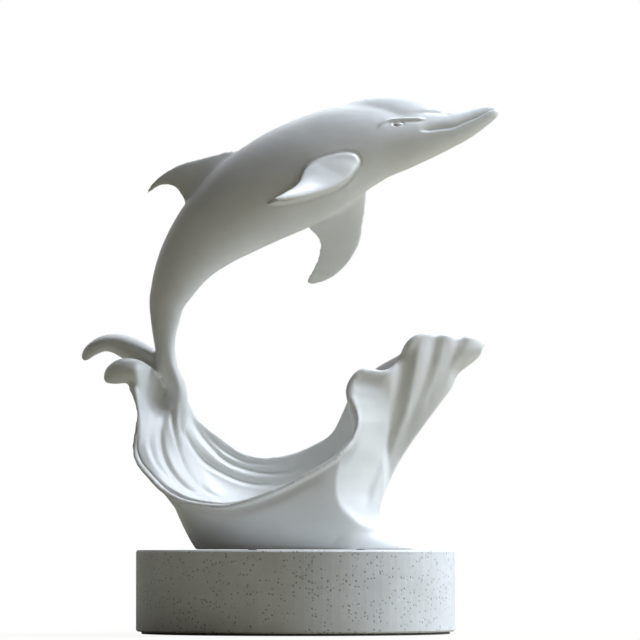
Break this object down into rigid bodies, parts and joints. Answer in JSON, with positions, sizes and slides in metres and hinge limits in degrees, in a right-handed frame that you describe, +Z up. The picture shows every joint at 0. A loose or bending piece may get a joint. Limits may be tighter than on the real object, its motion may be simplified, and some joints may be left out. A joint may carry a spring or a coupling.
{
  "type": "dolphin figurine",
  "caption": "Table figurine of a dolphin leaping from a breaking wave, cast in one piece and screwed from below to a round stone base with a felt pad",
  "frame": {"origin": "centre of the felt pad's underside, where the figurine rests on a table", "axes": "+Z up, +X along the leap, to the side the beak points to, -Y to the front, the side with the wave's open bowl"},
  "size_m": [0.233, 0.177, 0.2991],
  "materials": {
    "white_cast_resin": "satin white cast resin, smoothed by hand",
    "speckled_stone": "honed grey cast stone with fine dark specks and pinholes",
    "grey_felt": "pressed felt",
    "zinc_plated_steel": "bright zinc plate"
  },
  "bodies": {
    "root": {"dolphin_and_wave": "white_cast_resin", "stone_base": "speckled_stone", "felt_pad": "grey_felt", "fixing_screw_left": "zinc_plated_steel", "fixing_screw_right": "zinc_plated_steel", "washer_left": "zinc_plated_steel", "washer_right": "zinc_plated_steel"}
  },
  "joints": []
}
